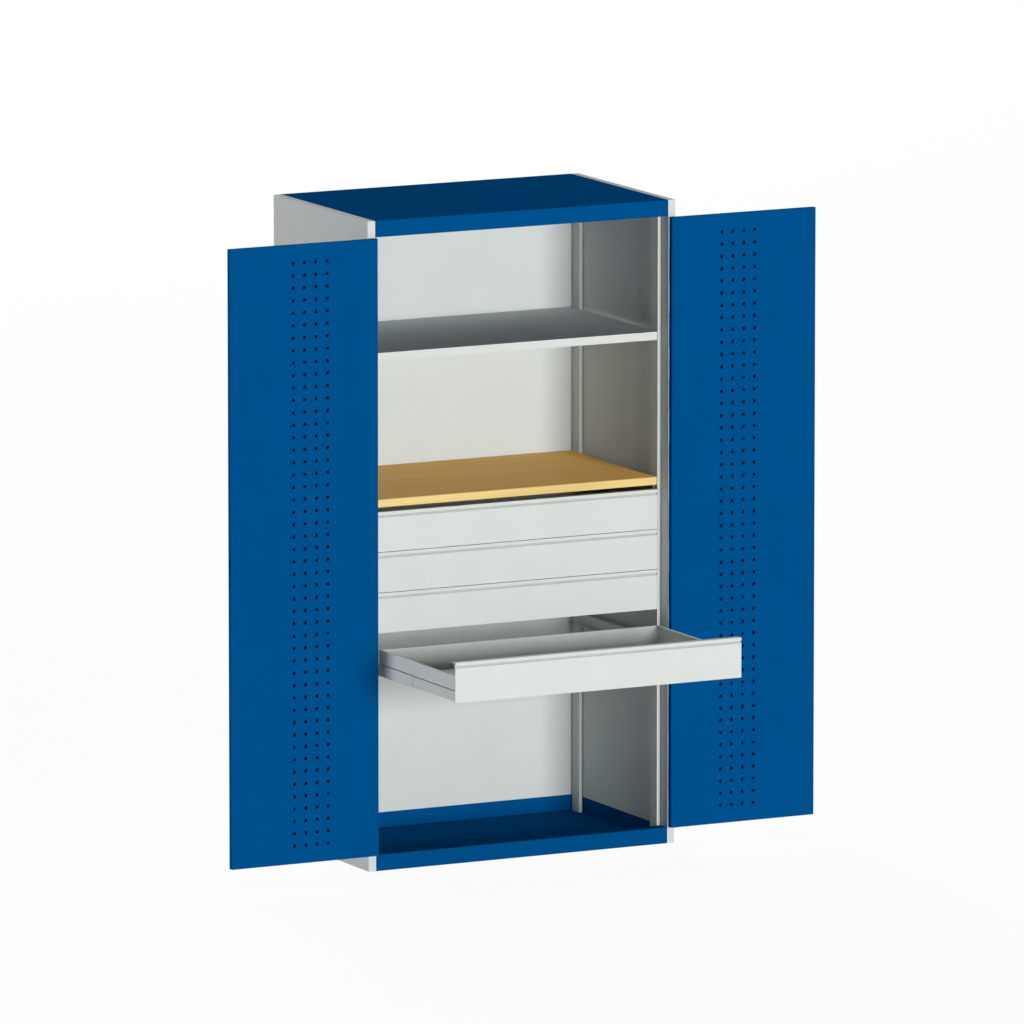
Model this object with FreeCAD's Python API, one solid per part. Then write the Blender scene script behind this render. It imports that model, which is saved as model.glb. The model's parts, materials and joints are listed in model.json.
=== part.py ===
import FreeCAD, Part
import math
import os

# Hinged door cabinet, in millimetres: X to the right, Y to the back, Z up.
# The origin is the middle of the carcass footprint, on the floor.
# Doors and drawers are modelled shut, then swung or drawn to the places that they have at rest.

# Carcass
cabinet_width = 1050.0
cabinet_depth = 650.0
cabinet_height = 2000.0
side_thickness = 25.0
shell_sheet = 1.0
bend_inside = 1.0
fascia_height = 50.0
fascia_return = 38.0
back_recess = 28.0

# Uprights, and the hooks that hang brackets and rails in their slots
upright_setback = 44.0
upright_depth = 47.0
upright_projection = 13.0
upright_wall_gap = 2.0
upright_back_gap = 6.0
upright_sheet = 1.5
hook_height = 12.0
hook_thickness = 2.0
hook_drop = 5.0
hook_clearance = 0.3

# Shelf, worktop and their brackets
shelf_top = 1588.0
shelf_lip = 25.0
shelf_return = 14.0
board_end_gap = 2.0
board_back_gap = 1.0
worktop_thickness = 25.0
worktop_gap = 13.0
worktop_round = 2.0
bracket_sheet = 1.5
bracket_leg = 22.0
bracket_ledge = 24.0
bracket_length = 20.0
wood_screw_radius = 2.0
wood_screw_head_radius = 4.0
wood_screw_head_height = 2.5
wood_screw_grip = 15.0

# Doors
door_sheet = 1.0
door_thickness = 16.5
door_side_gap = 2.0
door_end_gap = 1.5
door_middle_gap = 2.0
door_open_angle = 180.0
perforation_side = 10.0
perforation_pitch = 38.0
perforation_columns = 4
perforation_rows = 48
perforation_inset = 228.0

# Continuous hinges
hinge_axis_out = 2.75
knuckle_radius = 2.75
hinge_pin_radius = 1.5
hinge_pin_clearance = 0.05
leaf_sheet = 0.8
leaf_width = 14.0
leaf_clearance = 0.3
tab_bite_share = 0.2
knuckle_count = 19
knuckle_gap = 0.4

# Lock on the right door
lock_inset = 40.0
lock_height = 1000.0
crank_radius = 12.0
crank_rest_angle = 45.0
crank_pin_radius = 2.0
crank_pin_clearance = 0.6
disc_radius = 16.0
disc_thickness = 3.0
disc_gap = 1.0
spindle_radius = 5.0
spindle_clearance = 0.05
spindle_hole_clearance = 0.5
nose_radius = 3.5
rod_thickness = 3.5
rod_gap = 0.5
rod_nose_gap = 0.7
rod_wall = 3.6
rod_end_wall = 4.0
rod_recess = 0.5
rod_clearance = 0.5
keeper_clearance = 1.0
guide_wall = 4.0
guide_height = 24.0
guide_from_end = 60.0
guide_from_lock = 200.0
cam_gap = 1.5
cam_thickness = 3.0
cam_half_width = 7.0
cam_reach = 58.0
cam_clearance = 1.0
plate_half_width = 18.0
plate_half_height = 60.0
plate_thickness = 6.0
plate_round = 2.5
lever_gap = 0.3
hub_radius = 16.0
hub_height = 16.0
lever_length = 105.0
lever_half_width = 9.0
lever_thickness = 9.0
spindle_socket = 8.0
cylinder_radius = 8.0
cylinder_depth = 6.0
cylinder_proud = 1.0
keyway_width = 1.6
keyway_length = 8.0
keyway_depth = 4.0
lock_screw_radius = 2.0
lock_screw_head_radius = 4.0
lock_screw_head_height = 1.5
lock_screw_length = 10.0
lock_screw_spacing = 84.0

# Drawers, from the top one down
drawer_count = 4
drawer_stack_top = 1100.0
drawer_pitch = 125.0
drawer_gap = 2.0
drawer_end_gap = 1.0
drawer_back_gap = 47.0
drawer_side_gap = 8.0
drawer_side_height = 79.0
drawer_step_height = 37.0
drawer_sheet = 1.0
drawer_hem = 8.0
front_sheet = 1.2
front_return = 12.0
grip_lip_height = 10.0
grip_depth = 20.0
grip_height = 18.0
drawer_overtravel = 24.0
drawn_out_shares = (0, 0, 0, 1)

# Telescopic rails
runner_space = 15.0
rail_roller_gap = 5.6
rail_sheet = 1.2
rail_side_gap = 0.6
rail_height_gap = 0.5
rail_end_gap = 3.0
drawer_rail_height = 31.4
middle_rail_setback = 23.0
middle_rail_share = 0.5

# How far every cut runs past the surface that it opens
cut_overrun = 4.0

# Planes and places that several pieces share
half_width = cabinet_width / 2
front_y = -cabinet_depth / 2
back_y = cabinet_depth / 2
wall_x = half_width - side_thickness
back_face_y = back_y - back_recess
upright_face_x = wall_x - upright_projection
inner_front_y = front_y + upright_setback
front_upright_y = (inner_front_y, inner_front_y + upright_depth)
rear_upright_end = back_face_y - shell_sheet - upright_back_gap
rear_upright_y = (rear_upright_end - upright_depth, rear_upright_end)
board_half_width = upright_face_x - board_end_gap
board_y = (inner_front_y, back_face_y - shell_sheet - board_back_gap)
worktop_bottom = drawer_stack_top + worktop_gap
shelf_underside = shelf_top - shell_sheet
hinge_axis_y = front_y - hinge_axis_out
door_hinge_x = wall_x - door_side_gap
door_free_x = door_middle_gap / 2
door_z = (fascia_height + door_end_gap, cabinet_height - fascia_height - door_end_gap)
door_panel_y = front_y + door_thickness - door_sheet
door_inner_y = front_y + door_sheet
drawer_half_width = upright_face_x - drawer_side_gap
drawer_lower_half_width = upright_face_x - runner_space
front_half_width = upright_face_x - drawer_end_gap
front_height = drawer_pitch - drawer_gap
drawer_rear_y = back_face_y - shell_sheet - drawer_back_gap
drawer_travel = drawer_rear_y - inner_front_y + drawer_overtravel

X_AXIS = FreeCAD.Vector(1, 0, 0)
Y_AXIS = FreeCAD.Vector(0, 1, 0)
Z_AXIS = FreeCAD.Vector(0, 0, 1)


def block(x, y, z):
    """Box between two coordinates on each axis, given in either order."""
    low = FreeCAD.Vector(min(x), min(y), min(z))
    return Part.makeBox(max(x) - low.x, max(y) - low.y, max(z) - low.z, low)


def around(middle, half):
    """The two coordinates at equal distances from a middle one."""
    return (middle - half, middle + half)


def bar(radius, y, x, z):
    """Round bar along Y between two coordinates."""
    return Part.makeCylinder(radius, y[1] - y[0], FreeCAD.Vector(x, y[0], z), Y_AXIS)


def mirrored(shape):
    """The same piece on the other side of the cabinet."""
    return shape.mirror(FreeCAD.Vector(), X_AXIS)


def pair(shape):
    """A right-hand piece together with its left-hand twin."""
    return Part.makeCompound([shape, mirrored(shape)])


def rounded(solid, open_side, radius):
    """A box with a radius on every edge except those around its open side."""
    def reach(vertex):
        return vertex.Point.dot(open_side)
    limit = max(reach(vertex) for vertex in solid.Vertexes)
    def bent(edge):
        return min(reach(vertex) for vertex in edge.Vertexes) < limit - radius
    return solid.makeFillet(radius, [edge for edge in solid.Edges if bent(edge)])


def rounded_along(solid, direction, radius):
    """A box with a radius on the four edges that run in one direction."""
    def along(edge):
        span = edge.Vertexes[1].Point - edge.Vertexes[0].Point
        return abs(span.dot(direction)) > span.Length / 2
    return solid.makeFillet(radius, [edge for edge in solid.Edges if along(edge)])


def folded_pan(x, y, z, open_side, sheet):
    """Pan of folded sheet: a box of one wall thickness with one side open."""
    outer = rounded(block(x, y, z), open_side, bend_inside + sheet)
    inner_spans = []
    for span, direction in zip((x, y, z), tuple(open_side)):
        low = min(span) - cut_overrun if direction < 0 else min(span) + sheet
        high = max(span) + cut_overrun if direction > 0 else max(span) - sheet
        inner_spans.append((low, high))
    return outer.cut(rounded(block(*inner_spans), open_side, bend_inside))


def channel(web_x, lip_x, y, middle_z, height, sheet):
    """Rail of C section along Y: a web at web_x with lips that reach to lip_x."""
    towards = math.copysign(1, lip_x - web_x)
    outer = block((web_x, lip_x), y, around(middle_z, height / 2))
    hollow_x = (web_x + towards * sheet, lip_x + towards * cut_overrun)
    hollow_y = (y[0] - cut_overrun, y[1] + cut_overrun)
    return outer.cut(block(hollow_x, hollow_y, around(middle_z, height / 2 - sheet)))


def export(name, shape):
    """Write one piece, or one group of like pieces, under its name."""
    shape.exportStep("parts/" + name + ".step")


os.makedirs("parts", exist_ok=True)

# Side walls: a painted outer pan, closed on the inside by a flat liner
side_skin = folded_pan((wall_x, half_width), (front_y, back_y), (0, cabinet_height), -X_AXIS, shell_sheet)
side_liner = block(
    (wall_x, wall_x + shell_sheet),
    (front_y + shell_sheet, back_y - shell_sheet),
    (shell_sheet, cabinet_height - shell_sheet),
)
side_liner = rounded_along(side_liner, X_AXIS, bend_inside)
export("side_skin_right", side_skin)
export("side_skin_left", mirrored(side_skin))
export("side_liner_right", side_liner)
export("side_liner_left", mirrored(side_liner))

# Lock rods of the right door, shut and drawn back: flat bars driven by two pins of a crank
lock_x = door_free_x + lock_inset
crank_angle = math.radians(crank_rest_angle)
pin_x_offset = crank_radius * math.cos(crank_angle)
pin_z_offset = crank_radius * math.sin(crank_angle)
disc_y = (door_inner_y + disc_gap, door_inner_y + disc_gap + disc_thickness)
rod_y = (disc_y[1] + rod_gap, disc_y[1] + rod_gap + rod_thickness)
pin_room = crank_pin_radius + crank_pin_clearance
rod_x_offsets = (nose_radius + rod_nose_gap, crank_radius + pin_room + rod_wall)
rod_end = pin_z_offset + pin_room + rod_end_wall
upper_rod_x = (lock_x - rod_x_offsets[1], lock_x - rod_x_offsets[0])
lower_rod_x = (lock_x + rod_x_offsets[0], lock_x + rod_x_offsets[1])
upper_rod_z = (lock_height - rod_end, door_z[1] - rod_recess)
lower_rod_z = (door_z[0] + rod_recess, lock_height + rod_end)


def rod_passage(rod_x, z, clearance):
    """The room that a lock rod needs in a piece that it runs through."""
    return block(
        (rod_x[0] - clearance, rod_x[1] + clearance),
        (rod_y[0] - clearance, rod_y[1] + clearance),
        z,
    )


# Base and top: a sheet between the side walls, with a fascia of angle section under or on its front edge
base_sheet_z = (0, shell_sheet)
top_sheet_z = (cabinet_height - shell_sheet, cabinet_height)
base_tray = block((-wall_x, wall_x), (front_y, back_face_y), base_sheet_z)
top_panel = block((-wall_x, wall_x), (front_y, back_y), top_sheet_z)
fascia_half_width = wall_x - shell_sheet


def fascia(face_z, return_z):
    """Front section of a sheet: a face that meets it, and a return that turns back inside."""
    span = around(0, fascia_half_width)
    face = block(span, (front_y, front_y + shell_sheet), face_z)
    turned = block(span, (front_y, front_y + fascia_return), return_z)
    return face.fuse(turned).removeSplitter()


base_return_z = (fascia_height - shell_sheet, fascia_height)
base_fascia = fascia((base_sheet_z[1], base_return_z[1]), base_return_z)
lower_keeper = (base_return_z[0] - cut_overrun, base_return_z[1] + cut_overrun)
base_fascia = base_fascia.cut(rod_passage(lower_rod_x, lower_keeper, keeper_clearance))

top_return_z = (cabinet_height - fascia_height, cabinet_height - fascia_height + shell_sheet)
top_fascia = fascia((top_return_z[0], top_sheet_z[0]), top_return_z)
upper_keeper = (top_return_z[0] - cut_overrun, top_return_z[1] + cut_overrun)
top_fascia = top_fascia.cut(rod_passage(upper_rod_x, upper_keeper, keeper_clearance))

# Lips of the base tray: strips that stand on the sheet along the side walls and the back
lip_z = (base_sheet_z[1], fascia_height)
side_lip = block((fascia_half_width, wall_x), (front_y, back_face_y), lip_z)
rear_lip = block(around(0, fascia_half_width), (back_face_y - shell_sheet, back_face_y), lip_z)
base_lips = Part.makeCompound([side_lip, mirrored(side_lip), rear_lip])

# Back: a pan set in from behind, between the side walls
back_panel = folded_pan(
    (-wall_x, wall_x), (back_face_y, back_y), (0, cabinet_height - shell_sheet), Y_AXIS, shell_sheet
)
export("base_tray", base_tray)
export("base_fascia", base_fascia)
export("base_lips", base_lips)
export("top_panel", top_panel)
export("top_fascia", top_fascia)
export("back_panel", back_panel)


def drawer_bottom(index):
    """Lower edge of a drawer's front, counted from the top drawer."""
    return drawer_stack_top - drawer_pitch * (index + 1) + drawer_gap / 2


def rail_middle(index):
    """Height of a drawer's rails: each drawer rail stands on the fold under its drawer."""
    return drawer_bottom(index) + front_sheet + drawer_rail_height / 2


def hook(middle_y, middle_z):
    """Hook on the right side: a tab through the upright's face, with a nose that drops behind it."""
    y = around(middle_y, hook_thickness / 2)
    z = around(middle_z, hook_height / 2)
    behind_x = upright_face_x + upright_sheet + hook_clearance
    tab = block((upright_face_x, behind_x + hook_thickness), y, z)
    nose = block((behind_x, behind_x + hook_thickness), y, (z[0] - hook_drop, z[0]))
    return tab.fuse(nose).removeSplitter()


def hook_slot(middle_y, middle_z):
    """Slot in the upright's face for one hook, tall enough to enter it with its nose."""
    return block(
        (upright_face_x - cut_overrun, upright_face_x + upright_sheet + cut_overrun),
        around(middle_y, hook_thickness / 2 + hook_clearance),
        (middle_z - hook_height / 2, middle_z + hook_height / 2 + hook_drop + hook_clearance),
    )


# Uprights: channels that stand on the base tray, open towards the side wall
bracket_tops = (shelf_underside, worktop_bottom)
hook_heights = [top - bracket_sheet - bracket_leg / 2 for top in bracket_tops]
hook_heights += [rail_middle(index) for index in range(drawer_count)]
front_hook_y = front_upright_y[1] - bracket_length / 2 - hook_thickness
rear_hook_y = rear_upright_y[0] + bracket_length / 2 + hook_thickness


def upright(y, hook_y):
    """One upright of the right side, with a slot for each hook."""
    z = (shell_sheet, cabinet_height - shell_sheet)
    outer = block((upright_face_x, wall_x - upright_wall_gap), y, z)
    hollow = block(
        (upright_face_x + upright_sheet, wall_x + cut_overrun),
        (y[0] + upright_sheet, y[1] - upright_sheet),
        (z[0] - cut_overrun, z[1] + cut_overrun),
    )
    slots = [hook_slot(hook_y, height) for height in hook_heights]
    return outer.cut([hollow] + slots)


for place, y, hook_y in (("front", front_upright_y, front_hook_y), ("rear", rear_upright_y, rear_hook_y)):
    post = upright(y, hook_y)
    export("upright_" + place + "_right", post)
    export("upright_" + place + "_left", mirrored(post))

# Steel shelf: one sheet with a deep lip in front and behind, each turned in below
shelf_x = (-board_half_width, board_half_width)
shelf_z = (shelf_top - shelf_lip, shelf_top)
shelf_body = block(shelf_x, board_y, shelf_z)
shelf_ends = (-board_half_width - cut_overrun, board_half_width + cut_overrun)
shelf_hollow = block(
    shelf_ends,
    (board_y[0] + shell_sheet, board_y[1] - shell_sheet),
    (shelf_z[0] + shell_sheet, shelf_underside),
)
shelf_mouth = block(
    shelf_ends,
    (board_y[0] + shelf_return, board_y[1] - shelf_return),
    (shelf_z[0] - cut_overrun, shelf_underside - shell_sheet),
)
export("steel_shelf", shelf_body.cut([shelf_hollow, shelf_mouth]))


def bracket(middle_y, top):
    """Angle bracket of the right side: a ledge over a leg that hooks into the upright."""
    y = around(middle_y, bracket_length / 2)
    leg_x = (upright_face_x - bracket_sheet, upright_face_x)
    leg = block(leg_x, y, (top - bracket_leg, top))
    ledge = block((upright_face_x - bracket_ledge, upright_face_x), y, (top - bracket_sheet, top))
    tab = hook(middle_y, top - bracket_sheet - bracket_leg / 2)
    return leg.fuse([ledge, tab]).removeSplitter()


def bracket_set(top):
    """The four brackets that carry one board."""
    right = [bracket(front_hook_y, top), bracket(rear_hook_y, top)]
    return right + [mirrored(piece) for piece in right]


# Worktop: a solid wood board, screwed from below through its brackets
screw_x = upright_face_x - bracket_ledge / 2
ledge_bottom = worktop_bottom - bracket_sheet
wood_screws = []
for screw_y in (front_hook_y, rear_hook_y):
    head_at = FreeCAD.Vector(screw_x, screw_y, ledge_bottom - wood_screw_head_height)
    head = Part.makeCylinder(wood_screw_head_radius, wood_screw_head_height, head_at)
    shank_at = FreeCAD.Vector(screw_x, screw_y, ledge_bottom)
    shank = Part.makeCylinder(wood_screw_radius, bracket_sheet + wood_screw_grip, shank_at)
    screw = head.fuse(shank)
    wood_screws += [screw, mirrored(screw)]
worktop_z = (worktop_bottom, worktop_bottom + worktop_thickness)
worktop = block(shelf_x, board_y, worktop_z)
worktop = worktop.makeFillet(worktop_round, worktop.Edges)
export("worktop", worktop.cut(wood_screws))
export("worktop_screws", Part.makeCompound(wood_screws))
worktop_brackets = [piece.cut(wood_screws) for piece in bracket_set(worktop_bottom)]
export("worktop_brackets", Part.makeCompound(worktop_brackets))
export("shelf_brackets", Part.makeCompound(bracket_set(shelf_underside)))


def opened(shape, side):
    """A door piece swung from shut to its place at rest; side is 1 on the right and -1 on the left."""
    turned = shape.copy()
    turned.rotate(FreeCAD.Vector(side * wall_x, hinge_axis_y, 0), Z_AXIS, side * door_open_angle)
    return turned


# Doors, shut and on the right: an outer pan, closed on the inside by a perforated panel
door_x = (door_free_x, door_hinge_x)
door_skin = folded_pan(door_x, (front_y, door_panel_y), door_z, Y_AXIS, door_sheet)
perforation_x = door_hinge_x - perforation_inset
perforation_z = (door_z[0] + door_z[1]) / 2
perforations = []
for column in range(perforation_columns):
    hole_x = perforation_x + (column - (perforation_columns - 1) / 2) * perforation_pitch
    for row in range(perforation_rows):
        hole_z = perforation_z + (row - (perforation_rows - 1) / 2) * perforation_pitch
        perforations.append(block(
            around(hole_x, perforation_side / 2),
            (door_panel_y - cut_overrun, door_panel_y + door_sheet + cut_overrun),
            around(hole_z, perforation_side / 2),
        ))
door_panel = block(door_x, (door_panel_y, door_panel_y + door_sheet), door_z)
door_panel = rounded_along(door_panel, Y_AXIS, bend_inside + door_sheet).cut(perforations)

# Openings in the doors for the lock on the right one
spindle_y = (front_y - plate_thickness - lever_gap - spindle_socket, disc_y[0])
cam_y = (rod_y[1] + cam_gap, rod_y[1] + cam_gap + cam_thickness)
cam_slot = block(
    (door_free_x - cut_overrun, door_free_x + door_sheet + cut_overrun),
    (cam_y[0] - cam_clearance, cam_y[1] + cam_clearance),
    (lock_height - cam_reach, lock_height + cam_half_width + cam_clearance),
)
spindle_hole = bar(
    spindle_radius + spindle_hole_clearance,
    (front_y - cut_overrun, door_inner_y + cut_overrun),
    lock_x,
    lock_height,
)
plate_y = (front_y - plate_thickness, front_y)
lock_screws = []
for screw_z in around(lock_height, lock_screw_spacing / 2):
    head = bar(lock_screw_head_radius, (plate_y[0] - lock_screw_head_height, plate_y[0]), lock_x, screw_z)
    shank = bar(lock_screw_radius, (plate_y[0], plate_y[0] + lock_screw_length), lock_x, screw_z)
    lock_screws.append(head.fuse(shank))
upper_door_slot = (door_z[1] - door_sheet - cut_overrun, door_z[1] + cut_overrun)
lower_door_slot = (door_z[0] - cut_overrun, door_z[0] + door_sheet + cut_overrun)
rod_slots = [
    rod_passage(upper_rod_x, upper_door_slot, rod_clearance),
    rod_passage(lower_rod_x, lower_door_slot, rod_clearance),
]
right_skin = door_skin.cut([cam_slot, spindle_hole] + rod_slots + lock_screws)
left_skin = mirrored(door_skin.cut(cam_slot))
export("door_skin_right", opened(right_skin, 1))
export("door_skin_left", opened(left_skin, -1))
export("door_panel_right", opened(door_panel, 1))
export("door_panel_left", opened(mirrored(door_panel), -1))

# Continuous hinges, shut and on the right: two leaves with alternate knuckles on one long pin
hinge_height = door_z[1] - door_z[0]
knuckle_pitch = hinge_height / knuckle_count
hinge_bore_radius = hinge_pin_radius + hinge_pin_clearance
leaf_y = (hinge_axis_y + knuckle_radius + leaf_clearance, front_y + leaf_width)
tab_y = hinge_axis_y + hinge_bore_radius + (knuckle_radius - hinge_bore_radius) * tab_bite_share


def hinge_rod(radius, z):
    """Round bar on the hinge's axis between two heights."""
    return Part.makeCylinder(radius, z[1] - z[0], FreeCAD.Vector(wall_x, hinge_axis_y, z[0]))


def hinge_leaf(leaf_x, first):
    """One leaf: a plate with every second knuckle, counted up from the first one."""
    pieces = []
    for index in range(first, knuckle_count, 2):
        low = door_z[0] + index * knuckle_pitch
        z = (low + knuckle_gap / 2, low + knuckle_pitch - knuckle_gap / 2)
        pieces.append(hinge_rod(knuckle_radius, z))
        pieces.append(block(leaf_x, (tab_y, leaf_y[1]), z))
    plate = block(leaf_x, leaf_y, door_z)
    bore = hinge_rod(hinge_bore_radius, (door_z[0] - cut_overrun, door_z[1] + cut_overrun))
    return plate.fuse(pieces).removeSplitter().cut(bore)


frame_leaf = hinge_leaf((wall_x - leaf_sheet, wall_x), 0)
door_leaf = hinge_leaf((door_hinge_x, door_hinge_x + leaf_sheet), 1)
hinge_pin = hinge_rod(hinge_pin_radius, door_z)
export("hinge_frame_leaf_right", frame_leaf)
export("hinge_frame_leaf_left", mirrored(frame_leaf))
export("hinge_door_leaf_right", opened(door_leaf, 1))
export("hinge_door_leaf_left", opened(mirrored(door_leaf), -1))
export("hinge_pin_right", hinge_pin)
export("hinge_pin_left", mirrored(hinge_pin))


# Lock rods and their guides, inside the right door
def lock_rod(rod_x, z, pin_side):
    """One rod with a cross slot for its crank pin; the upper rod's pin starts low on the free side."""
    slot_x = (lock_x + pin_side * (pin_x_offset - pin_room), lock_x + pin_side * (crank_radius + pin_room))
    slot_y = (rod_y[0] - cut_overrun, rod_y[1] + cut_overrun)
    slot = block(slot_x, slot_y, around(lock_height + pin_side * pin_z_offset, pin_room))
    return block(rod_x, rod_y, z).cut(slot)


def rod_guide(rod_x, middle_z):
    """Block on the outer skin that a rod slides through."""
    body = block(
        (rod_x[0] - guide_wall, rod_x[1] + guide_wall),
        (door_inner_y, rod_y[1] + guide_wall),
        around(middle_z, guide_height / 2),
    )
    return body.cut(rod_passage(rod_x, around(middle_z, guide_height / 2 + cut_overrun), rod_clearance))


upper_rod = lock_rod(upper_rod_x, upper_rod_z, -1)
lower_rod = lock_rod(lower_rod_x, lower_rod_z, 1)
rod_guides = [
    rod_guide(upper_rod_x, door_z[1] - guide_from_end),
    rod_guide(upper_rod_x, lock_height + guide_from_lock),
    rod_guide(lower_rod_x, lock_height - guide_from_lock),
    rod_guide(lower_rod_x, door_z[0] + guide_from_end),
]
export("lock_rod_upper", opened(upper_rod, 1))
export("lock_rod_lower", opened(lower_rod, 1))
export("rod_guides", opened(Part.makeCompound(rod_guides), 1))

# Spindle with its crank disc and two pins, and the cam that reaches into the other door
spindle = bar(spindle_radius, spindle_y, lock_x, lock_height)
crank_disc = bar(disc_radius, disc_y, lock_x, lock_height)
nose = bar(nose_radius, (disc_y[1], cam_y[1]), lock_x, lock_height)
crank_pins = []
for pin_side in (-1, 1):
    pin_x = lock_x + pin_side * pin_x_offset
    pin_z = lock_height + pin_side * pin_z_offset
    crank_pins.append(bar(crank_pin_radius, (disc_y[1], rod_y[1]), pin_x, pin_z))
spindle = spindle.fuse([crank_disc, nose] + crank_pins).removeSplitter()
cam_z = (lock_height - cam_reach, lock_height + cam_half_width)
cam = block(around(lock_x, cam_half_width), cam_y, cam_z).cut(nose)
export("lock_spindle", opened(spindle, 1))
export("lock_cam", opened(cam, 1))

# Lock plate outside, and the lever with its key cylinder
plate = block(around(lock_x, plate_half_width), plate_y, around(lock_height, plate_half_height))
plate = rounded(plate, Y_AXIS, plate_round)
plate_bore_y = (plate_y[0] - cut_overrun, plate_y[1] + cut_overrun)
plate = plate.cut([bar(spindle_radius + spindle_clearance, plate_bore_y, lock_x, lock_height)] + lock_screws)
hub_y = (plate_y[0] - lever_gap - hub_height, plate_y[0] - lever_gap)
hub = bar(hub_radius, hub_y, lock_x, lock_height)
arm_y = (hub_y[0], hub_y[0] + lever_thickness)
tip_x = lock_x + lever_length - lever_half_width
arm = block((lock_x, tip_x), arm_y, around(lock_height, lever_half_width))
tip = bar(lever_half_width, arm_y, tip_x, lock_height)
cylinder_y = (hub_y[0] - cylinder_proud, hub_y[0] + cylinder_depth)
key_cylinder = bar(cylinder_radius, cylinder_y, lock_x, lock_height)
lever = hub.fuse([arm, tip]).removeSplitter().cut([spindle, key_cylinder])
keyway = block(
    around(lock_x, keyway_length / 2),
    (cylinder_y[0] - cut_overrun, cylinder_y[0] + keyway_depth),
    around(lock_height, keyway_width / 2),
)
export("lock_plate", opened(plate, 1))
export("lock_screws", opened(Part.makeCompound(lock_screws), 1))
export("handle_lever", opened(lever, 1))
export("key_cylinder", opened(key_cylinder.cut(keyway), 1))

# Drawer front: one folded sheet, whose top turns back and over into a full-width finger grip
grip_slope = math.hypot(grip_depth, grip_height)
grip_back_y = front_sheet * grip_height / grip_slope
grip_back_z = front_sheet * grip_depth / grip_slope
grip_rear = grip_back_y + grip_depth * (grip_height + grip_back_z) / grip_height
grip_foot = grip_height + grip_back_z - (front_sheet - grip_back_y) * grip_height / grip_depth


def drawer_front(bottom):
    """Front of one drawer, shut, from its section's outline in depth behind the face and height."""
    top = bottom + front_height
    outline = [
        (0, top - grip_lip_height),
        (0, top),
        (grip_rear, top),
        (front_sheet, top - grip_foot),
        (front_sheet, bottom + front_sheet),
        (front_return, bottom + front_sheet),
        (front_return, bottom),
        (0, bottom),
        (0, top - grip_height),
        (grip_depth * (1 - front_sheet / grip_height), top - front_sheet),
        (front_sheet, top - front_sheet),
        (front_sheet, top - grip_lip_height),
    ]
    points = [FreeCAD.Vector(-front_half_width, inner_front_y + y, z) for y, z in outline]
    section = Part.Face(Part.makePolygon(points + points[:1]))
    return section.extrude(X_AXIS * (2 * front_half_width))


def drawer_tray(bottom):
    """Tray of one drawer, shut, on the front's lower fold: it widens above its rails to a hemmed rim."""
    y = (inner_front_y + front_sheet, drawer_rear_y)
    inner_y = (y[0] + drawer_sheet, y[1] - drawer_sheet)
    floor = bottom + front_sheet
    step = bottom + drawer_step_height
    rim = bottom + drawer_side_height
    lower_x = drawer_lower_half_width - drawer_sheet
    upper_x = drawer_half_width - drawer_sheet
    outer = block(around(0, drawer_lower_half_width), y, (floor, step))
    outer = outer.fuse(block(around(0, drawer_half_width), y, (step, rim))).removeSplitter()
    hollow = block(around(0, lower_x), inner_y, (floor + drawer_sheet, step + drawer_sheet))
    hollow = hollow.fuse(block(around(0, upper_x), inner_y, (step + drawer_sheet, rim - drawer_sheet)))
    mouth = block(
        around(0, upper_x - drawer_hem),
        (inner_y[0] + drawer_hem, inner_y[1] - drawer_hem),
        (rim - drawer_sheet - cut_overrun, rim + cut_overrun),
    )
    return outer.cut(hollow.fuse(mouth).removeSplitter())


# Rails on the right, from the upright inwards: the cabinet's, the middle one and the drawer's.
# The first two open inwards and each holds the next; the last is welded to the tray by its lips.
rail_front_y = inner_front_y + grip_rear + rail_end_gap
rail_lip_x = drawer_lower_half_width + rail_sheet + rail_side_gap
middle_web_x = upright_face_x - rail_sheet - rail_roller_gap
drawer_web_x = middle_web_x - rail_sheet - rail_side_gap
middle_rail_height = drawer_rail_height + 2 * (rail_sheet + rail_height_gap)
cabinet_rail_height = middle_rail_height + 2 * (rail_sheet + rail_height_gap)
cabinet_rail_y = (rail_front_y, rear_upright_y[1] - rail_end_gap)
middle_rail_y = (rail_front_y, cabinet_rail_y[1] - middle_rail_setback)
drawer_rail_y = (inner_front_y + front_sheet, drawer_rear_y)

for index in range(drawer_count):
    number = str(index + 1)
    bottom = drawer_bottom(index)
    level = rail_middle(index)
    pull = FreeCAD.Vector(0, -drawer_travel * drawn_out_shares[index], 0)
    cabinet_rail = channel(upright_face_x, rail_lip_x, cabinet_rail_y, level, cabinet_rail_height, rail_sheet)
    cabinet_rail = cabinet_rail.fuse([hook(front_hook_y, level), hook(rear_hook_y, level)]).removeSplitter()
    middle_rail = channel(middle_web_x, rail_lip_x, middle_rail_y, level, middle_rail_height, rail_sheet)
    drawer_rail = channel(
        drawer_web_x, drawer_lower_half_width, drawer_rail_y, level, drawer_rail_height, rail_sheet
    )
    export("drawer_front_" + number, drawer_front(bottom).translated(pull))
    export("drawer_tray_" + number, drawer_tray(bottom).translated(pull))
    export("cabinet_rails_" + number, pair(cabinet_rail))
    export("middle_rails_" + number, pair(middle_rail).translated(pull * middle_rail_share))
    export("drawer_rails_" + number, pair(drawer_rail).translated(pull))
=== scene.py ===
import json
import math

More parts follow.
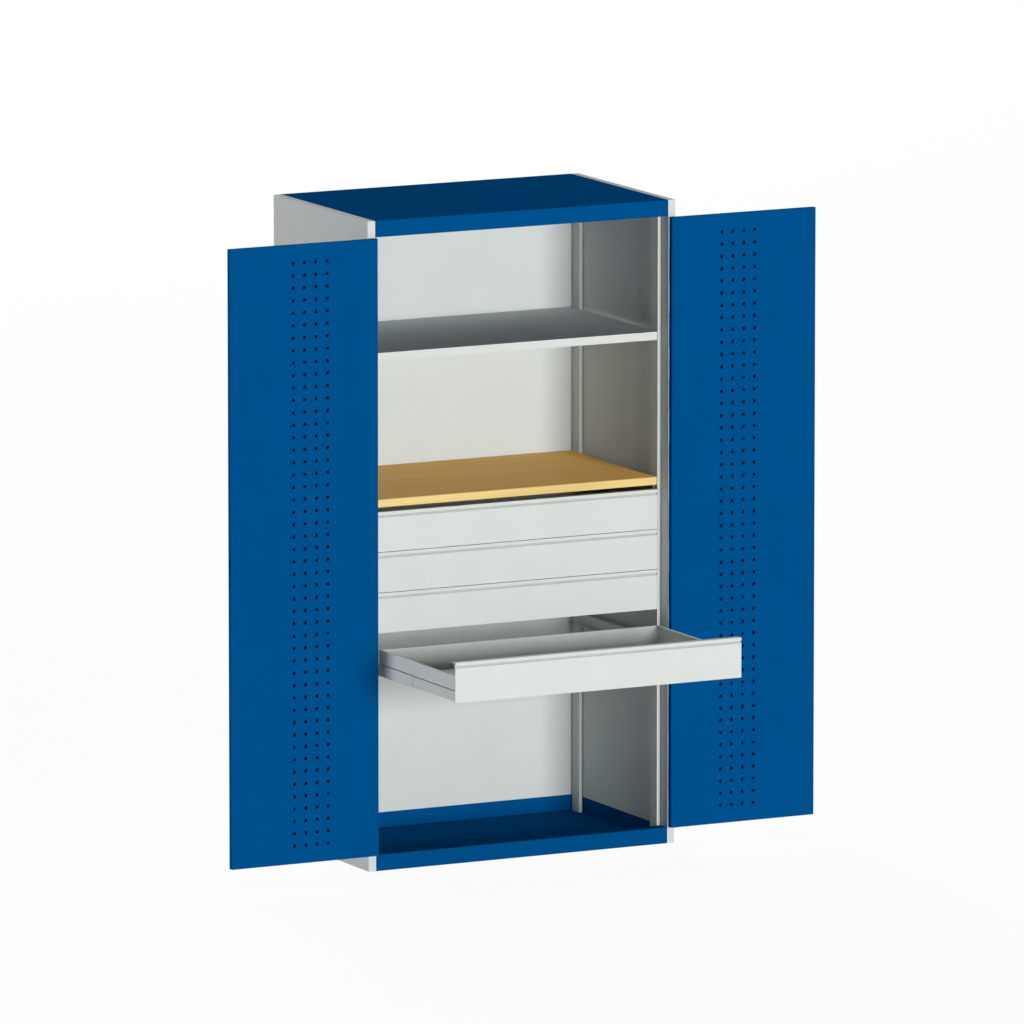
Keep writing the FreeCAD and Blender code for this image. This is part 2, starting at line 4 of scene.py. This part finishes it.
import bpy
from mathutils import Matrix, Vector


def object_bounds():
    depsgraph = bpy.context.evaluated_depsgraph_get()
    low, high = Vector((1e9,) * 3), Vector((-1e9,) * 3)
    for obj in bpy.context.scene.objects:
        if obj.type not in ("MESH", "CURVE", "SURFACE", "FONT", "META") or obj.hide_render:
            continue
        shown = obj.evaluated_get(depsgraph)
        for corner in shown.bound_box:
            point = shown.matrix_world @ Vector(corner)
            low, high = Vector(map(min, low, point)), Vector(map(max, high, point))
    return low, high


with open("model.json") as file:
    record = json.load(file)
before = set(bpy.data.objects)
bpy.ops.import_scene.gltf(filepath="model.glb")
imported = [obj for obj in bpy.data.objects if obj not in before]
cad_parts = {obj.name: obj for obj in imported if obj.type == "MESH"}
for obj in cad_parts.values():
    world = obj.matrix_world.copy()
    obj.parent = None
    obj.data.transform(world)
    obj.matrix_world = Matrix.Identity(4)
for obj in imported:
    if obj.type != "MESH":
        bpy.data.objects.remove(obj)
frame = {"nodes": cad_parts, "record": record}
cad_low, cad_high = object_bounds()
nodes = frame["nodes"]


# Side walls
# Each is a pan of folded sheet steel, closed on the inside by a welded liner.
# Both are powder coated in light grey, with the fine orange peel of a baked coat.
def powder_coat(name, colour):
    """Baked powder without gloss: an even colour with slight clouding, and a fine orange peel."""
    cloud_limits = (0.3, 0.7)
    cloud_levels = (0.985, 1.015)
    roughness = 0.5
    roughness_swing = 0.04
    material = bpy.data.materials.new(name)
    material.use_nodes = True
    tree = material.node_tree
    shader = tree.nodes["Principled BSDF"]
    place = tree.nodes.new("ShaderNodeTexCoord")
    clouds = tree.nodes.new("ShaderNodeTexNoise")
    clouds.inputs["Scale"].default_value = 7.0
    clouds.inputs["Detail"].default_value = 3.0
    tint = tree.nodes.new("ShaderNodeValToRGB")
    for element, position, level in zip(tint.color_ramp.elements, cloud_limits, cloud_levels):
        element.position = position
        element.color = [channel * level for channel in colour] + [1.0]
    shader.inputs["Specular IOR Level"].default_value = 0.0
    sheen = tree.nodes.new("ShaderNodeMapRange")
    sheen.inputs["To Min"].default_value = roughness - roughness_swing
    sheen.inputs["To Max"].default_value = roughness + roughness_swing
    peel = tree.nodes.new("ShaderNodeTexNoise")
    peel.inputs["Scale"].default_value = 700.0
    peel.inputs["Detail"].default_value = 2.0
    relief = tree.nodes.new("ShaderNodeBump")
    relief.inputs["Strength"].default_value = 0.05
    relief.inputs["Distance"].default_value = 0.0003
    link = tree.links.new
    link(place.outputs["Object"], clouds.inputs["Vector"])
    link(place.outputs["Object"], peel.inputs["Vector"])
    link(clouds.outputs["Fac"], tint.inputs["Fac"])
    link(clouds.outputs["Fac"], sheen.inputs["Value"])
    link(tint.outputs["Color"], shader.inputs["Base Color"])
    link(sheen.outputs["Result"], shader.inputs["Roughness"])
    link(peel.outputs["Fac"], relief.inputs["Height"])
    link(relief.outputs["Normal"], shader.inputs["Normal"])
    return material


def dress(material, *names):
    """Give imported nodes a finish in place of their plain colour."""
    for name in names:
        node = nodes[name]
        node.data.materials.clear()
        node.data.materials.append(material)


light_grey_tone = (0.60, 0.63, 0.61)
light_grey = powder_coat("light_grey_powder", light_grey_tone)
dress(light_grey, "side_skin_left", "side_skin_right", "side_liner_left", "side_liner_right")

# Base tray, top panel and back panel
# Sheets welded between the side walls. The tray and the top are flat, each with an angle as its
# fascia, and the tray has lips round it, all in blue. The back is a folded pan in light grey.
blue_tone = (0.0, 0.067, 0.217)
blue = powder_coat("blue_powder", blue_tone)
dress(blue, "base_tray", "base_fascia", "base_lips", "top_panel", "top_fascia")
dress(light_grey, "back_panel")

# Uprights
# Folded steel channels that stand in the base tray, slotted for the hooks of what they
# carry, and coated in the light grey of the carcass.
for corner in ("front_left", "front_right", "rear_left", "rear_right"):
    dress(light_grey, "upright_" + corner)

# Steel shelf and its brackets
# One coated sheet with a folded lip in front and behind. It lies on zinc-plated angle
# brackets that hook into the uprights.
dress(light_grey, "steel_shelf")


def spangles(tree, colour):
    """Patches of zinc crystals: the node that makes them, and the output with their tints."""
    spangle_levels = (0.9, 1.06)
    place = tree.nodes.new("ShaderNodeTexCoord")
    patches = tree.nodes.new("ShaderNodeTexVoronoi")
    patches.inputs["Scale"].default_value = 160.0
    tint = tree.nodes.new("ShaderNodeValToRGB")
    for element, level in zip(tint.color_ramp.elements, spangle_levels):
        element.color = [channel * level for channel in colour] + [1.0]
    tree.links.new(place.outputs["Object"], patches.inputs["Vector"])
    tree.links.new(patches.outputs["Color"], tint.inputs["Fac"])
    return patches, tint.outputs["Color"]


def zinc_plate(name, colour, roughness):
    """Zinc-plated steel: a dull silver with small spangled patches."""
    roughness_swing = 0.06
    material = bpy.data.materials.new(name)
    material.use_nodes = True
    tree = material.node_tree
    shader = tree.nodes["Principled BSDF"]
    shader.inputs["Metallic"].default_value = 1.0
    patches, silver = spangles(tree, colour)
    sheen = tree.nodes.new("ShaderNodeMapRange")
    sheen.inputs["To Min"].default_value = roughness - roughness_swing
    sheen.inputs["To Max"].default_value = roughness + roughness_swing
    tree.links.new(patches.outputs["Distance"], sheen.inputs["Value"])
    tree.links.new(silver, shader.inputs["Base Color"])
    tree.links.new(sheen.outputs["Result"], shader.inputs["Roughness"])
    return material


zinc_tone = (0.62, 0.64, 0.65)
zinc = zinc_plate("zinc_plate", zinc_tone, roughness=0.42)
dress(zinc, "shelf_brackets", "worktop_brackets", "worktop_screws")


# Worktop
# A board of glued beech staves that run from side to side, planed and finished in a dull matt
# lacquer. Its flat faces carry painted shade and a painted warm bounce: they take darker, deeper
# orange tones than its edges. It is screwed from below through its brackets.
def lacquered_beech(name, flat_shade_tones, edge_tones):
    """Beech staves along X: long streaks between two tones, with painted shade and a painted warm
    bounce in the darker, deeper tones of the flat faces.
    """
    streak_limits = (0.3, 0.7)
    material = bpy.data.materials.new(name)
    material.use_nodes = True
    tree = material.node_tree
    link = tree.links.new
    shader = tree.nodes["Principled BSDF"]
    shader.inputs["Roughness"].default_value = 0.5
    shader.inputs["Diffuse Roughness"].default_value = 1.0
    shader.inputs["Specular IOR Level"].default_value = 0.03
    place = tree.nodes.new("ShaderNodeTexCoord")
    stretch = tree.nodes.new("ShaderNodeMapping")
    stretch.inputs["Scale"].default_value = (2.2, 60.0, 60.0)
    streaks = tree.nodes.new("ShaderNodeTexNoise")
    streaks.inputs["Scale"].default_value = 1.0
    streaks.inputs["Detail"].default_value = 6.0
    streaks.inputs["Distortion"].default_value = 0.3
    link(place.outputs["Object"], stretch.inputs["Vector"])
    link(stretch.outputs["Vector"], streaks.inputs["Vector"])
    ramps = []
    for tones in (edge_tones, flat_shade_tones):
        ramp = tree.nodes.new("ShaderNodeValToRGB")
        for element, position, tone in zip(ramp.color_ramp.elements, streak_limits, tones):
            element.position = position
            element.color = (*tone, 1.0)
        link(streaks.outputs["Fac"], ramp.inputs["Fac"])
        ramps.append(ramp)
    surface = tree.nodes.new("ShaderNodeNewGeometry")
    facing = tree.nodes.new("ShaderNodeSeparateXYZ")
    upright_share = tree.nodes.new("ShaderNodeMath")
    upright_share.operation = "ABSOLUTE"
    link(surface.outputs["Normal"], facing.inputs["Vector"])
    link(facing.outputs["Z"], upright_share.inputs[0])
    # Faces that point up or down take the flat tones. These hold painted shade and a painted warm
    # bounce, darker and more orange than the edges.
    blend_faces = tree.nodes.new("ShaderNodeMix")
    blend_faces.data_type = "RGBA"
    share_socket = blend_faces.inputs[0]
    edge_socket, flat_shade_socket = [socket for socket in blend_faces.inputs if socket.type == "RGBA"]
    colour = next(socket for socket in blend_faces.outputs if socket.type == "RGBA")
    link(upright_share.outputs["Value"], share_socket)
    link(ramps[0].outputs["Color"], edge_socket)
    link(ramps[1].outputs["Color"], flat_shade_socket)
    link(colour, shader.inputs["Base Color"])
    relief = tree.nodes.new("ShaderNodeBump")
    relief.inputs["Strength"].default_value = 0.08
    relief.inputs["Distance"].default_value = 0.0005
    link(streaks.outputs["Fac"], relief.inputs["Height"])
    link(relief.outputs["Normal"], shader.inputs["Normal"])
    return material


# The flat tones are painted shade and a painted warm bounce of the beech: darker and deeper than
# the edge tones.
beech_flat_shade_tones = ((0.57, 0.315, 0.076), (0.62, 0.368, 0.100))
beech_edge = ((0.735, 0.578, 0.24), (0.84, 0.692, 0.325))
dress(lacquered_beech("lacquered_beech", beech_flat_shade_tones, beech_edge), "worktop")

# Doors
# Each is a hollow leaf: a folded outer pan and an inner sheet punched with square holes for
# tool hooks, both in blue powder coat.
dress(blue, "door_skin_left", "door_skin_right", "door_panel_left", "door_panel_right")

# Continuous hinges
# Two folded leaves with alternate knuckles on one long pin, welded to the wall and the door and
# coated with them. The knuckles stay in dull zinc, which shows as a thin line beside the door.
hinge_tone = (0.20, 0.235, 0.28)
joints = frame["record"]["behaviour"]["joints"]
hinge_joint = next(row for row in joints if row["name"] == "door_right_hinge")
hinge_axis = (hinge_joint["pos_m"][0], hinge_joint["pos_m"][1], 0.0)
bare_reach = 0.0029


def coated_leaf(name, colour):
    """Hinge leaf in the paint of what carries it, with bare zinc within reach of the pin's axis."""
    material = powder_coat(name, colour)
    tree = material.node_tree
    link = tree.links.new
    shader = tree.nodes["Principled BSDF"]
    paint = shader.inputs["Base Color"].links[0].from_socket
    place = tree.nodes.new("ShaderNodeTexCoord")
    axes = tree.nodes.new("ShaderNodeSeparateXYZ")
    either_side = tree.nodes.new("ShaderNodeMath")
    either_side.operation = "ABSOLUTE"
    in_plan = tree.nodes.new("ShaderNodeCombineXYZ")
    from_axis = tree.nodes.new("ShaderNodeVectorMath")
    from_axis.operation = "DISTANCE"
    from_axis.inputs[1].default_value = hinge_axis
    bare = tree.nodes.new("ShaderNodeMath")
    bare.operation = "LESS_THAN"
    bare.inputs[1].default_value = bare_reach
    link(place.outputs["Object"], axes.inputs["Vector"])
    link(axes.outputs["X"], either_side.inputs[0])
    link(either_side.outputs["Value"], in_plan.inputs["X"])
    link(axes.outputs["Y"], in_plan.inputs["Y"])
    link(in_plan.outputs["Vector"], from_axis.inputs[0])
    link(from_axis.outputs["Value"], bare.inputs[0])
    finish = tree.nodes.new("ShaderNodeMix")
    finish.data_type = "RGBA"
    paint_socket, zinc_socket = [socket for socket in finish.inputs if socket.type == "RGBA"]
    finish_colour = next(socket for socket in finish.outputs if socket.type == "RGBA")
    link(bare.outputs["Value"], finish.inputs[0])
    link(paint, paint_socket)
    link(spangles(tree, hinge_tone)[1], zinc_socket)
    link(finish_colour, shader.inputs["Base Color"])
    link(bare.outputs["Value"], shader.inputs["Metallic"])
    return material


frame_leaf = coated_leaf("grey_hinge_leaf", light_grey_tone)
door_leaf = coated_leaf("blue_hinge_leaf", blue_tone)
hinge_zinc = zinc_plate("hinge_zinc", hinge_tone, roughness=0.5)
for side in ("left", "right"):
    dress(frame_leaf, "hinge_frame_leaf_" + side)
    dress(door_leaf, "hinge_door_leaf_" + side)
    dress(hinge_zinc, "hinge_pin_" + side)


# Lock
# A moulded lever on a moulded plate turns a steel spindle, whose crank drives two flat rods
# inside the right door and a cam behind them.
def moulded_plastic(name, colour):
    """Moulded plastic with the fine grain of its tool."""
    grain_levels = (0.85, 1.15)
    material = bpy.data.materials.new(name)
    material.use_nodes = True
    tree = material.node_tree
    shader = tree.nodes["Principled BSDF"]
    shader.inputs["Roughness"].default_value = 0.5
    place = tree.nodes.new("ShaderNodeTexCoord")
    grain = tree.nodes.new("ShaderNodeTexNoise")
    grain.inputs["Scale"].default_value = 1800.0
    tint = tree.nodes.new("ShaderNodeValToRGB")
    for element, level in zip(tint.color_ramp.elements, grain_levels):
        element.color = [channel * level for channel in colour] + [1.0]
    relief = tree.nodes.new("ShaderNodeBump")
    relief.inputs["Strength"].default_value = 0.12
    relief.inputs["Distance"].default_value = 0.0002
    link = tree.links.new
    link(place.outputs["Object"], grain.inputs["Vector"])
    link(grain.outputs["Fac"], tint.inputs["Fac"])
    link(tint.outputs["Color"], shader.inputs["Base Color"])
    link(grain.outputs["Fac"], relief.inputs["Height"])
    link(relief.outputs["Normal"], shader.inputs["Normal"])
    return material


black_tone = (0.02, 0.02, 0.022)
guide_tone = (0.55, 0.56, 0.56)
dress(moulded_plastic("black_plastic", black_tone), "handle_lever", "lock_plate")
dress(moulded_plastic("guide_plastic", guide_tone), "rod_guides")
dress(zinc, "key_cylinder", "lock_cam", "lock_screws", "lock_spindle")
dress(zinc, "lock_rod_lower", "lock_rod_upper")

# Drawers and their rails
# Each drawer is a folded tray behind a folded front. It runs on telescopic rails, of which the
# middle one travels half as far. All of it is coated in the light grey of the carcass.
for number in ("1", "2", "3", "4"):
    dress(light_grey, "drawer_front_" + number, "drawer_tray_" + number)
    dress(light_grey, "cabinet_rails_" + number, "middle_rails_" + number, "drawer_rails_" + number)

# Studio
# A pale floor under a white backdrop, and one wide soft light in front, a little above and to
# the right. Soft lights also stand at the left, at the right, above and behind.
scene = bpy.context.scene
scene.view_settings.view_transform = "Standard"
ambient_level = 0.02
world = bpy.data.worlds.new("studio")
world.use_nodes = True
scene.world = world
air = world.node_tree


def seen_rays(tree):
    """Output that is 1 for rays that see the backdrop straight, mirrored or through glass."""
    rays = tree.nodes.new("ShaderNodeLightPath")
    seen = rays.outputs["Is Camera Ray"]
    for kind in ("Is Glossy Ray", "Is Transmission Ray"):
        either = tree.nodes.new("ShaderNodeMath")
        either.operation = "MAXIMUM"
        tree.links.new(seen, either.inputs[0])
        tree.links.new(rays.outputs[kind], either.inputs[1])
        seen = either.outputs["Value"]
    return seen


backdrop = air.nodes.new("ShaderNodeMapRange")
backdrop.inputs["To Min"].default_value = ambient_level
backdrop.inputs["To Max"].default_value = 1.0
background = air.nodes["Background"]
background.inputs["Color"].default_value = (1.0, 1.0, 1.0, 1.0)
air.links.new(seen_rays(air), backdrop.inputs["Value"])
air.links.new(backdrop.outputs["Result"], background.inputs["Strength"])

floor_half = 60.0
floor_drop = 0.0005
floor_glow_share = 0.95
floor_tone = (0.85, 0.85, 0.85)
floor_mesh = bpy.data.meshes.new("floor")
corners = [(-floor_half, -floor_half, 0), (floor_half, -floor_half, 0)]
corners += [(floor_half, floor_half, 0), (-floor_half, floor_half, 0)]
floor_mesh.from_pydata(corners, [], [(0, 1, 2, 3)])
floor = bpy.data.objects.new("floor", floor_mesh)
floor.location.z = cad_low.z - floor_drop
scene.collection.objects.link(floor)
pale = bpy.data.materials.new("pale_floor")
pale.use_nodes = True
ground = pale.node_tree
matt = ground.nodes.new("ShaderNodeBsdfDiffuse")
matt.inputs["Color"].default_value = (*floor_tone, 1.0)
glow = ground.nodes.new("ShaderNodeEmission")
blend = ground.nodes.new("ShaderNodeMixShader")
glow_share = ground.nodes.new("ShaderNodeMath")
glow_share.operation = "MULTIPLY"
glow_share.inputs[1].default_value = floor_glow_share
ground.links.new(seen_rays(ground), glow_share.inputs[0])
ground.links.new(glow_share.outputs["Value"], blend.inputs["Fac"])
ground.links.new(matt.outputs["BSDF"], blend.inputs[1])
ground.links.new(glow.outputs["Emission"], blend.inputs[2])
ground.links.new(blend.outputs["Shader"], ground.nodes["Material Output"].inputs["Surface"])
floor_mesh.materials.append(pale)


cabinet_middle = Vector((0.0, 0.0, 1.0))


def soft_light(name, place, width, height, level):
    """Soft light on the cabinet's middle, where it gives a white matt face about that level."""
    lamp = bpy.data.lights.new(name, "AREA")
    lamp.shape = "RECTANGLE"
    lamp.size = width
    lamp.size_y = height
    aim = cabinet_middle - Vector(place)
    lamp.energy = math.pi ** 2 * aim.length_squared * level
    holder = bpy.data.objects.new(name, lamp)
    holder.location = place
    holder.rotation_euler = aim.to_track_quat("-Z", "Y").to_euler()
    scene.collection.objects.link(holder)


soft_light("front_light", (1.0, -25.0, 3.4), width=8.0, height=5.0, level=0.955)
soft_light("left_light", (-20.0, 0.9, 0.35), width=2.4, height=0.6, level=0.40)
soft_light("right_light", (20.0, 0.9, 0.35), width=2.4, height=0.6, level=0.40)
soft_light("top_light", (0.0, -0.1, 20.0), width=3.0, height=3.0, level=0.325)
soft_light("back_light", (3.0, 25.0, 5.0), width=6.0, height=5.0, level=0.93)

# Camera
# A long lens, far off to the left and a little above, as the photograph is taken.
camera_data = bpy.data.cameras.new("camera")
camera_data.sensor_width = 36.0
camera_data.lens = 466.92
camera_data.clip_end = 300.0
camera = bpy.data.objects.new("camera", camera_data)
camera.location = (-18.1391, -35.9129, 7.7221)
view_turn = math.radians(26.962)
view_drop = math.radians(9.453)
level_reach = math.cos(view_drop)
to_right = math.sin(view_turn) * level_reach
to_back = math.cos(view_turn) * level_reach
sight = Vector((to_right, to_back, -math.sin(view_drop)))
camera.rotation_euler = sight.to_track_quat("-Z", "Y").to_euler()
scene.collection.objects.link(camera)
scene.camera = camera

bpy.context.view_layer.update()
